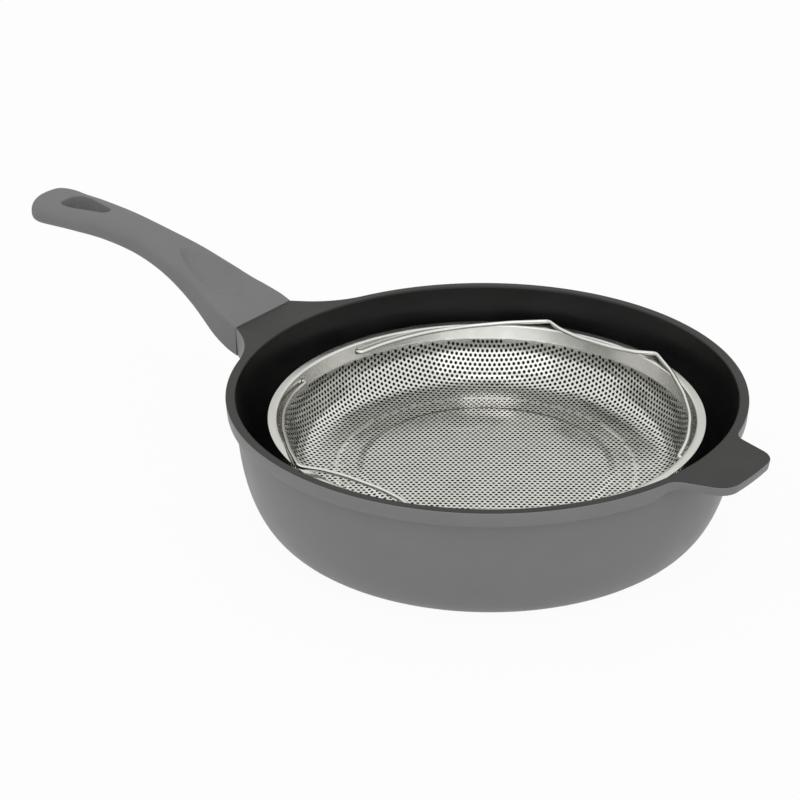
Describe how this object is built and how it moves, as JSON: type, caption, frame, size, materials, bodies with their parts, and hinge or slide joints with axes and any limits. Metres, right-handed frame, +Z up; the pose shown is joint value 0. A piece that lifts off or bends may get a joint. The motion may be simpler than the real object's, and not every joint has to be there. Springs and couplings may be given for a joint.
{
  "type": "saute pan",
  "caption": "Deep grey saute pan with a rising handle, a flat helper tab and a lift-out perforated steel basket with folding wire handles.",
  "frame": {"origin": "middle of the base's underside, where the pan stands", "axes": "+Z up, -X along the handle, +X towards the helper tab"},
  "size_m": [0.5179, 0.2908, 0.1115],
  "materials": {
    "casting": "matt grey coating outside, black non-stick coating inside",
    "grip": "satin moulded grey",
    "stainless": "polished stainless steel"
  },
  "bodies": {
    "pan": {"pan_body": "casting", "induction_plate": "stainless", "handle_grip": "grip", "handle_screw": "stainless", "handle_washer": "stainless"},
    "basket": {"basket_shell": "stainless", "basket_leg_1": "stainless", "basket_leg_2": "stainless", "basket_leg_3": "stainless", "basket_leg_4": "stainless"},
    "rear_bail": {"rear_bail": "stainless"},
    "front_bail": {"front_bail": "stainless"}
  },
  "joints": [
    {"name": "basket_lift", "type": "slide", "parent": "pan", "child": "basket", "axis": [0, 0, 1], "range_m": [0, 0.12]},
    {"name": "rear_bail_hinge", "type": "hinge", "parent": "basket", "child": "rear_bail", "pos_m": [0, 0.0254, 0.054], "axis": [1, 0, 0], "range_deg": [0, 98]},
    {"name": "front_bail_hinge", "type": "hinge", "parent": "basket", "child": "front_bail", "pos_m": [0, -0.0254, 0.054], "axis": [-1, 0, 0], "range_deg": [0, 98]}
  ]
}
